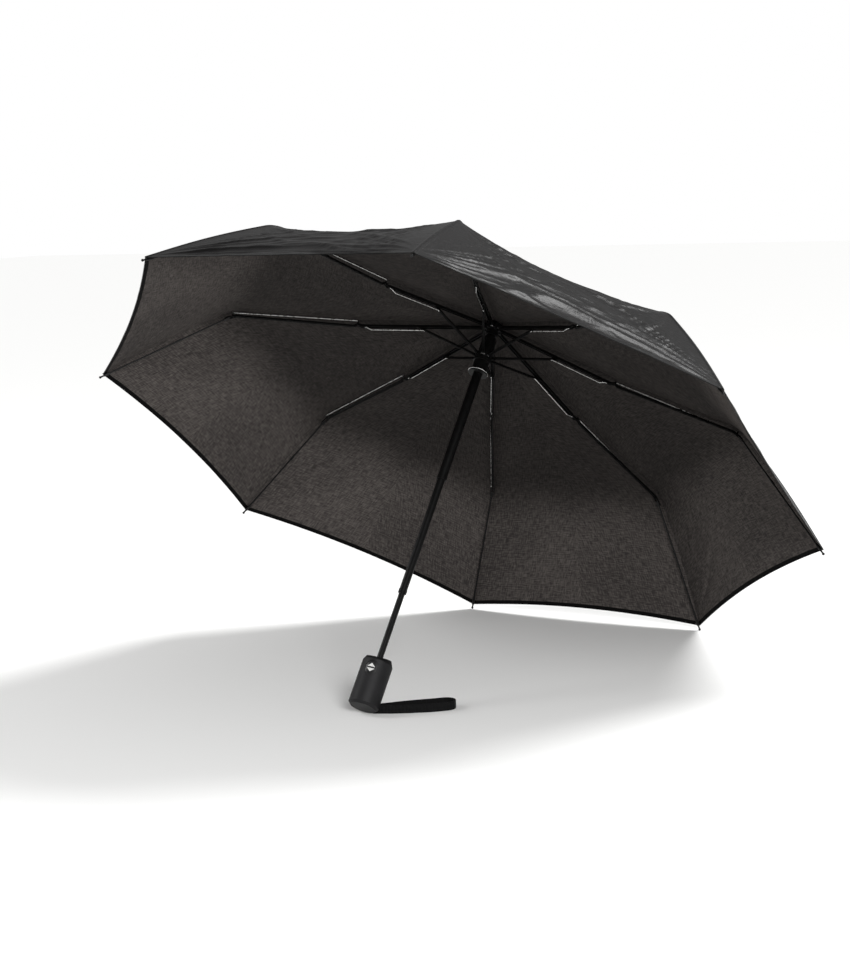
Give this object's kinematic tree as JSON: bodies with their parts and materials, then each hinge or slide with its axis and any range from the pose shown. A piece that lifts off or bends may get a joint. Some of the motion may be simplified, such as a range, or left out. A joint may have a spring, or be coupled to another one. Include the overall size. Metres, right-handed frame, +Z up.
{
  "type": "folding umbrella",
  "caption": "Open compact folding umbrella lying on its side, with telescoping shaft, hinged ribs, sliding runner, cloth canopy, push-button handle and wrist loop.",
  "frame": {"origin": "middle of the open umbrella's box, at floor level (wrist strap not counted)", "axes": "+Z up from the floor it lies on, +Y horizontal from the handle towards the canopy, +X sideways"},
  "size_m": [0.8962, 0.7044, 0.587],
  "materials": {
    "steel_wire": "bright zinc-plated spring wire",
    "black_steel": "black lacquered steel, semi-gloss",
    "black_plastic": "moulded black plastic, satin",
    "grip_rubber": "soft-touch rubberised coating, matte",
    "button_plastic": "moulded black plastic, satin gloss",
    "canopy_cloth": "black woven polyester pongee",
    "strap_webbing": "black woven webbing"
  },
  "bodies": {
    "handle": {"handle_shell": "grip_rubber", "lower_tube": "black_steel", "wrist_strap": "strap_webbing"},
    "button": {"button": "button_plastic"},
    "middle_shaft": {"middle_tube": "black_steel"},
    "upper_shaft": {"upper_tube": "black_steel", "crown": "black_plastic", "crown_ring": "steel_wire", "top_cap": "black_plastic", "canopy": "canopy_cloth"},
    "top_rib_1": {"top_rib_1": "black_steel"},
    "stretcher_1": {"stretcher_1": "black_steel"},
    "push_link_1": {"push_link_1": "steel_wire"},
    "middle_rib_1": {"middle_rib_1": "black_steel"},
    "control_wire_1": {"control_wire_1": "steel_wire"},
    "outer_rib_1": {"outer_rib_1": "black_steel"},
    "top_rib_2": {"top_rib_2": "black_steel"},
    "stretcher_2": {"stretcher_2": "black_steel"},
    "push_link_2": {"push_link_2": "steel_wire"},
    "middle_rib_2": {"middle_rib_2": "black_steel"},
    "control_wire_2": {"control_wire_2": "steel_wire"},
    "outer_rib_2": {"outer_rib_2": "black_steel"},
    "top_rib_3": {"top_rib_3": "black_steel"},
    "stretcher_3": {"stretcher_3": "black_steel"},
    "push_link_3": {"push_link_3": "steel_wire"},
    "middle_rib_3": {"middle_rib_3": "black_steel"},
    "control_wire_3": {"control_wire_3": "steel_wire"},
    "outer_rib_3": {"outer_rib_3": "black_steel"},
    "top_rib_4": {"top_rib_4": "black_steel"},
    "stretcher_4": {"stretcher_4": "black_steel"},
    "push_link_4": {"push_link_4": "steel_wire"},
    "middle_rib_4": {"middle_rib_4": "black_steel"},
    "control_wire_4": {"control_wire_4": "steel_wire"},
    "outer_rib_4": {"outer_rib_4": "black_steel"},
    "top_rib_5": {"top_rib_5": "black_steel"},
    "stretcher_5": {"stretcher_5": "black_steel"},
    "push_link_5": {"push_link_5": "steel_wire"},
    "middle_rib_5": {"middle_rib_5": "black_steel"},
    "control_wire_5": {"control_wire_5": "steel_wire"},
    "outer_rib_5": {"outer_rib_5": "black_steel"},
    "top_rib_6": {"top_rib_6": "black_steel"},
    "stretcher_6": {"stretcher_6": "black_steel"},
    "push_link_6": {"push_link_6": "steel_wire"},
    "middle_rib_6": {"middle_rib_6": "black_steel"},
    "control_wire_6": {"control_wire_6": "steel_wire"},
    "outer_rib_6": {"outer_rib_6": "black_steel"},
    "top_rib_7": {"top_rib_7": "black_steel"},
    "stretcher_7": {"stretcher_7": "black_steel"},
    "push_link_7": {"push_link_7": "steel_wire"},
    "middle_rib_7": {"middle_rib_7": "black_steel"},
    "control_wire_7": {"control_wire_7": "steel_wire"},
    "outer_rib_7": {"outer_rib_7": "black_steel"},
    "top_rib_8": {"top_rib_8": "black_steel"},
    "stretcher_8": {"stretcher_8": "black_steel"},
    "push_link_8": {"push_link_8": "steel_wire"},
    "middle_rib_8": {"middle_rib_8": "black_steel"},
    "control_wire_8": {"control_wire_8": "steel_wire"},
    "outer_rib_8": {"outer_rib_8": "black_steel"},
    "runner": {"runner": "black_plastic", "runner_ring": "steel_wire"}
  },
  "joints": [
    {"name": "button_press", "type": "slide", "parent": "handle", "child": "button", "axis": [-0.2588, 0.7573, -0.5996], "range_m": [0, 0.0025], "stiffness_N_per_m": 900, "springref_m": -0.001},
    {"name": "middle_tube_slide", "type": "slide", "parent": "handle", "child": "middle_shaft", "axis": [0, -0.6208, -0.784], "range_m": [0, 0.087]},
    {"name": "upper_tube_slide", "type": "slide", "parent": "middle_shaft", "child": "upper_shaft", "axis": [0, -0.6208, -0.784], "range_m": [0, 0.161]},
    {"name": "rib_fold_1", "type": "hinge", "parent": "upper_shaft", "child": "top_rib_1", "pos_m": [-0.00383, 0.13217, 0.43147], "axis": [-0.9239, -0.3, 0.2376], "range_deg": [0, 76.2], "deforming": ["canopy"]},
    {"name": "stretcher_turn_1", "type": "hinge", "parent": "top_rib_1", "child": "stretcher_1", "pos_m": [-0.03739, 0.18232, 0.36429], "axis": [-0.9239, -0.3, 0.2376], "range_deg": [-152.4, 0]},
    {"name": "push_link_turn_1", "type": "hinge", "parent": "stretcher_1", "child": "push_link_1", "pos_m": [-0.0333, 0.17295, 0.36836], "axis": [-0.9239, -0.3, 0.2376], "range_deg": [0, 152.4]},
    {"name": "knuckle_1", "type": "hinge", "parent": "top_rib_1", "child": "middle_rib_1", "pos_m": [-0.06716, 0.22841, 0.30671], "axis": [-0.9239, -0.3, 0.2376], "range_deg": [-175.3, 0]},
    {"name": "control_wire_turn_1", "type": "hinge", "parent": "top_rib_1", "child": "control_wire_1", "pos_m": [-0.06726, 0.23108, 0.30969], "axis": [-0.9239, -0.3, 0.2376], "range_deg": [-175.3, 0]},
    {"name": "elbow_1", "type": "hinge", "parent": "middle_rib_1", "child": "outer_rib_1", "pos_m": [-0.13089, 0.32996, 0.18711], "axis": [-0.9239, -0.3, 0.2376], "range_deg": [0, 145.2]},
    {"name": "rib_fold_2", "type": "hinge", "parent": "upper_shaft", "child": "top_rib_2", "pos_m": [-0.00924, 0.12793, 0.43483], "axis": [-0.3827, -0.7243, 0.5735], "range_deg": [0, 76.2]},
    {"name": "stretcher_turn_2", "type": "hinge", "parent": "top_rib_2", "child": "stretcher_2", "pos_m": [-0.09026, 0.14087, 0.39712], "axis": [-0.3827, -0.7243, 0.5735], "range_deg": [-152.4, 0]},
    {"name": "push_link_turn_2", "type": "hinge", "parent": "stretcher_2", "child": "push_link_2", "pos_m": [-0.08039, 0.13604, 0.3976], "axis": [-0.3827, -0.7243, 0.5735], "range_deg": [0, 152.4]},
    {"name": "knuckle_2", "type": "hinge", "parent": "top_rib_2", "child": "middle_rib_2", "pos_m": [-0.16214, 0.15395, 0.36567], "axis": [-0.3827, -0.7243, 0.5735], "range_deg": [-175.3, 0]},
    {"name": "control_wire_turn_2", "type": "hinge", "parent": "top_rib_2", "child": "control_wire_2", "pos_m": [-0.16238, 0.1565, 0.36874], "axis": [-0.3827, -0.7243, 0.5735], "range_deg": [-175.3, 0]},
    {"name": "elbow_2", "type": "hinge", "parent": "middle_rib_2", "child": "outer_rib_2", "pos_m": [-0.316, 0.18484, 0.30202], "axis": [-0.3827, -0.7243, 0.5735], "range_deg": [0, 145.2]},
    {"name": "rib_fold_3", "type": "hinge", "parent": "upper_shaft", "child": "top_rib_3", "pos_m": [-0.00924, 0.12193, 0.43959], "axis": [0.3827, -0.7243, 0.5735], "range_deg": [0, 76.2]},
    {"name": "stretcher_turn_3", "type": "hinge", "parent": "top_rib_3", "child": "stretcher_3", "pos_m": [-0.09026, 0.08225, 0.44353], "axis": [0.3827, -0.7243, 0.5735], "range_deg": [-152.4, 0]},
    {"name": "push_link_turn_3", "type": "hinge", "parent": "stretcher_3", "child": "push_link_3", "pos_m": [-0.08039, 0.08383, 0.43894], "axis": [0.3827, -0.7243, 0.5735], "range_deg": [0, 152.4]},
    {"name": "knuckle_3", "type": "hinge", "parent": "top_rib_3", "child": "middle_rib_3", "pos_m": [-0.16214, 0.04864, 0.44905], "axis": [0.3827, -0.7243, 0.5735], "range_deg": [-175.3, 0]},
    {"name": "control_wire_turn_3", "type": "hinge", "parent": "top_rib_3", "child": "control_wire_3", "pos_m": [-0.16238, 0.05104, 0.45224], "axis": [0.3827, -0.7243, 0.5735], "range_deg": [-175.3, 0]},
    {"name": "elbow_3", "type": "hinge", "parent": "middle_rib_3", "child": "outer_rib_3", "pos_m": [-0.316, -0.0204, 0.46452], "axis": [0.3827, -0.7243, 0.5735], "range_deg": [0, 145.2]},
    {"name": "rib_fold_4", "type": "hinge", "parent": "upper_shaft", "child": "top_rib_4", "pos_m": [-0.00383, 0.11769, 0.44294], "axis": [0.9239, -0.3, 0.2376], "range_deg": [0, 76.2]},
    {"name": "stretcher_turn_4", "type": "hinge", "parent": "top_rib_4", "child": "stretcher_4", "pos_m": [-0.03739, 0.0408, 0.47635], "axis": [0.9239, -0.3, 0.2376], "range_deg": [-152.4, 0]},
    {"name": "push_link_turn_4", "type": "hinge", "parent": "stretcher_4", "child": "push_link_4", "pos_m": [-0.0333, 0.04691, 0.46817], "axis": [0.9239, -0.3, 0.2376], "range_deg": [0, 152.4]},
    {"name": "knuckle_4", "type": "hinge", "parent": "top_rib_4", "child": "middle_rib_4", "pos_m": [-0.06716, -0.02582, 0.50801], "axis": [0.9239, -0.3, 0.2376], "range_deg": [-175.3, 0]},
    {"name": "control_wire_turn_4", "type": "hinge", "parent": "top_rib_4", "child": "control_wire_4", "pos_m": [-0.06726, -0.02353, 0.51129], "axis": [0.9239, -0.3, 0.2376], "range_deg": [-175.3, 0]},
    {"name": "elbow_4", "type": "hinge", "parent": "middle_rib_4", "child": "outer_rib_4", "pos_m": [-0.13089, -0.16552, 0.57943], "axis": [0.9239, -0.3, 0.2376], "range_deg": [0, 145.2]},
    {"name": "rib_fold_5", "type": "hinge", "parent": "upper_shaft", "child": "top_rib_5", "pos_m": [0.00383, 0.11769, 0.44294], "axis": [0.9239, 0.3, -0.2376], "range_deg": [0, 76.2]},
    {"name": "stretcher_turn_5", "type": "hinge", "parent": "top_rib_5", "child": "stretcher_5", "pos_m": [0.03739, 0.0408, 0.47635], "axis": [0.9239, 0.3, -0.2376], "range_deg": [-152.4, 0]},
    {"name": "push_link_turn_5", "type": "hinge", "parent": "stretcher_5", "child": "push_link_5", "pos_m": [0.0333, 0.04691, 0.46817], "axis": [0.9239, 0.3, -0.2376], "range_deg": [0, 152.4]},
    {"name": "knuckle_5", "type": "hinge", "parent": "top_rib_5", "child": "middle_rib_5", "pos_m": [0.06716, -0.02582, 0.50801], "axis": [0.9239, 0.3, -0.2376], "range_deg": [-175.3, 0]},
    {"name": "control_wire_turn_5", "type": "hinge", "parent": "top_rib_5", "child": "control_wire_5", "pos_m": [0.06726, -0.02353, 0.51129], "axis": [0.9239, 0.3, -0.2376], "range_deg": [-175.3, 0]},
    {"name": "elbow_5", "type": "hinge", "parent": "middle_rib_5", "child": "outer_rib_5", "pos_m": [0.13089, -0.16552, 0.57943], "axis": [0.9239, 0.3, -0.2376], "range_deg": [0, 145.2]},
    {"name": "rib_fold_6", "type": "hinge", "parent": "upper_shaft", "child": "top_rib_6", "pos_m": [0.00924, 0.12193, 0.43959], "axis": [0.3827, 0.7243, -0.5735], "range_deg": [0, 76.2]},
    {"name": "stretcher_turn_6", "type": "hinge", "parent": "top_rib_6", "child": "stretcher_6", "pos_m": [0.09026, 0.08225, 0.44353], "axis": [0.3827, 0.7243, -0.5735], "range_deg": [-152.4, 0]},
    {"name": "push_link_turn_6", "type": "hinge", "parent": "stretcher_6", "child": "push_link_6", "pos_m": [0.08039, 0.08383, 0.43894], "axis": [0.3827, 0.7243, -0.5735], "range_deg": [0, 152.4]},
    {"name": "knuckle_6", "type": "hinge", "parent": "top_rib_6", "child": "middle_rib_6", "pos_m": [0.16214, 0.04864, 0.44905], "axis": [0.3827, 0.7243, -0.5735], "range_deg": [-175.3, 0]},
    {"name": "control_wire_turn_6", "type": "hinge", "parent": "top_rib_6", "child": "control_wire_6", "pos_m": [0.16238, 0.05104, 0.45224], "axis": [0.3827, 0.7243, -0.5735], "range_deg": [-175.3, 0]},
    {"name": "elbow_6", "type": "hinge", "parent": "middle_rib_6", "child": "outer_rib_6", "pos_m": [0.316, -0.0204, 0.46452], "axis": [0.3827, 0.7243, -0.5735], "range_deg": [0, 145.2]},
    {"name": "rib_fold_7", "type": "hinge", "parent": "upper_shaft", "child": "top_rib_7", "pos_m": [0.00924, 0.12793, 0.43483], "axis": [-0.3827, 0.7243, -0.5735], "range_deg": [0, 76.2]},
    {"name": "stretcher_turn_7", "type": "hinge", "parent": "top_rib_7", "child": "stretcher_7", "pos_m": [0.09026, 0.14087, 0.39712], "axis": [-0.3827, 0.7243, -0.5735], "range_deg": [-152.4, 0]},
    {"name": "push_link_turn_7", "type": "hinge", "parent": "stretcher_7", "child": "push_link_7", "pos_m": [0.08039, 0.13604, 0.3976], "axis": [-0.3827, 0.7243, -0.5735], "range_deg": [0, 152.4]},
    {"name": "knuckle_7", "type": "hinge", "parent": "top_rib_7", "child": "middle_rib_7", "pos_m": [0.16214, 0.15395, 0.36567], "axis": [-0.3827, 0.7243, -0.5735], "range_deg": [-175.3, 0]},
    {"name": "control_wire_turn_7", "type": "hinge", "parent": "top_rib_7", "child": "control_wire_7", "pos_m": [0.16238, 0.1565, 0.36874], "axis": [-0.3827, 0.7243, -0.5735], "range_deg": [-175.3, 0]},
    {"name": "elbow_7", "type": "hinge", "parent": "middle_rib_7", "child": "outer_rib_7", "pos_m": [0.316, 0.18484, 0.30202], "axis": [-0.3827, 0.7243, -0.5735], "range_deg": [0, 145.2]},
    {"name": "rib_fold_8", "type": "hinge", "parent": "upper_shaft", "child": "top_rib_8", "pos_m": [0.00383, 0.13217, 0.43147], "axis": [-0.9239, 0.3, -0.2376], "range_deg": [0, 76.2]},
    {"name": "stretcher_turn_8", "type": "hinge", "parent": "top_rib_8", "child": "stretcher_8", "pos_m": [0.03739, 0.18232, 0.36429], "axis": [-0.9239, 0.3, -0.2376], "range_deg": [-152.4, 0]},
    {"name": "push_link_turn_8", "type": "hinge", "parent": "stretcher_8", "child": "push_link_8", "pos_m": [0.0333, 0.17295, 0.36836], "axis": [-0.9239, 0.3, -0.2376], "range_deg": [0, 152.4]},
    {"name": "knuckle_8", "type": "hinge", "parent": "top_rib_8", "child": "middle_rib_8", "pos_m": [0.06716, 0.22841, 0.30671], "axis": [-0.9239, 0.3, -0.2376], "range_deg": [-175.3, 0]},
    {"name": "control_wire_turn_8", "type": "hinge", "parent": "top_rib_8", "child": "control_wire_8", "pos_m": [0.06726, 0.23108, 0.30969], "axis": [-0.9239, 0.3, -0.2376], "range_deg": [-175.3, 0]},
    {"name": "elbow_8", "type": "hinge", "parent": "middle_rib_8", "child": "outer_rib_8", "pos_m": [0.13089, 0.32996, 0.18711], "axis": [-0.9239, 0.3, -0.2376], "range_deg": [0, 145.2]},
    {"name": "runner_turn", "type": "hinge", "parent": "stretcher_1", "child": "runner", "pos_m": [-0.00383, 0.10543, 0.3977], "axis": [-0.9239, -0.3, 0.2376], "range_deg": [0, 76.2]}
  ],
  "couplings": [
    {"joint": "stretcher_turn_1", "follows": "rib_fold_1", "ratio": -2},
    {"joint": "push_link_turn_1", "follows": "rib_fold_1", "ratio": 2},
    {"joint": "knuckle_1", "follows": "rib_fold_1", "ratio": -2.3005},
    {"joint": "control_wire_turn_1", "follows": "rib_fold_1", "ratio": -2.3005},
    {"joint": "elbow_1", "follows": "rib_fold_1", "ratio": 1.9055},
    {"joint": "rib_fold_2", "follows": "rib_fold_1", "ratio": 1},
    {"joint": "stretcher_turn_2", "follows": "rib_fold_1", "ratio": -2},
    {"joint": "push_link_turn_2", "follows": "rib_fold_1", "ratio": 2},
    {"joint": "knuckle_2", "follows": "rib_fold_1", "ratio": -2.3005},
    {"joint": "control_wire_turn_2", "follows": "rib_fold_1", "ratio": -2.3005},
    {"joint": "elbow_2", "follows": "rib_fold_1", "ratio": 1.9055},
    {"joint": "rib_fold_3", "follows": "rib_fold_1", "ratio": 1},
    {"joint": "stretcher_turn_3", "follows": "rib_fold_1", "ratio": -2},
    {"joint": "push_link_turn_3", "follows": "rib_fold_1", "ratio": 2},
    {"joint": "knuckle_3", "follows": "rib_fold_1", "ratio": -2.3005},
    {"joint": "control_wire_turn_3", "follows": "rib_fold_1", "ratio": -2.3005},
    {"joint": "elbow_3", "follows": "rib_fold_1", "ratio": 1.9055},
    {"joint": "rib_fold_4", "follows": "rib_fold_1", "ratio": 1},
    {"joint": "stretcher_turn_4", "follows": "rib_fold_1", "ratio": -2},
    {"joint": "push_link_turn_4", "follows": "rib_fold_1", "ratio": 2},
    {"joint": "knuckle_4", "follows": "rib_fold_1", "ratio": -2.3005},
    {"joint": "control_wire_turn_4", "follows": "rib_fold_1", "ratio": -2.3005},
    {"joint": "elbow_4", "follows": "rib_fold_1", "ratio": 1.9055},
    {"joint": "rib_fold_5", "follows": "rib_fold_1", "ratio": 1},
    {"joint": "stretcher_turn_5", "follows": "rib_fold_1", "ratio": -2},
    {"joint": "push_link_turn_5", "follows": "rib_fold_1", "ratio": 2},
    {"joint": "knuckle_5", "follows": "rib_fold_1", "ratio": -2.3005},
    {"joint": "control_wire_turn_5", "follows": "rib_fold_1", "ratio": -2.3005},
    {"joint": "elbow_5", "follows": "rib_fold_1", "ratio": 1.9055},
    {"joint": "rib_fold_6", "follows": "rib_fold_1", "ratio": 1},
    {"joint": "stretcher_turn_6", "follows": "rib_fold_1", "ratio": -2},
    {"joint": "push_link_turn_6", "follows": "rib_fold_1", "ratio": 2},
    {"joint": "knuckle_6", "follows": "rib_fold_1", "ratio": -2.3005},
    {"joint": "control_wire_turn_6", "follows": "rib_fold_1", "ratio": -2.3005},
    {"joint": "elbow_6", "follows": "rib_fold_1", "ratio": 1.9055},
    {"joint": "rib_fold_7", "follows": "rib_fold_1", "ratio": 1},
    {"joint": "stretcher_turn_7", "follows": "rib_fold_1", "ratio": -2},
    {"joint": "push_link_turn_7", "follows": "rib_fold_1", "ratio": 2},
    {"joint": "knuckle_7", "follows": "rib_fold_1", "ratio": -2.3005},
    {"joint": "control_wire_turn_7", "follows": "rib_fold_1", "ratio": -2.3005},
    {"joint": "elbow_7", "follows": "rib_fold_1", "ratio": 1.9055},
    {"joint": "rib_fold_8", "follows": "rib_fold_1", "ratio": 1},
    {"joint": "stretcher_turn_8", "follows": "rib_fold_1", "ratio": -2},
    {"joint": "push_link_turn_8", "follows": "rib_fold_1", "ratio": 2},
    {"joint": "knuckle_8", "follows": "rib_fold_1", "ratio": -2.3005},
    {"joint": "control_wire_turn_8", "follows": "rib_fold_1", "ratio": -2.3005},
    {"joint": "elbow_8", "follows": "rib_fold_1", "ratio": 1.9055},
    {"joint": "runner_turn", "follows": "rib_fold_1", "ratio": 1}
  ]
}
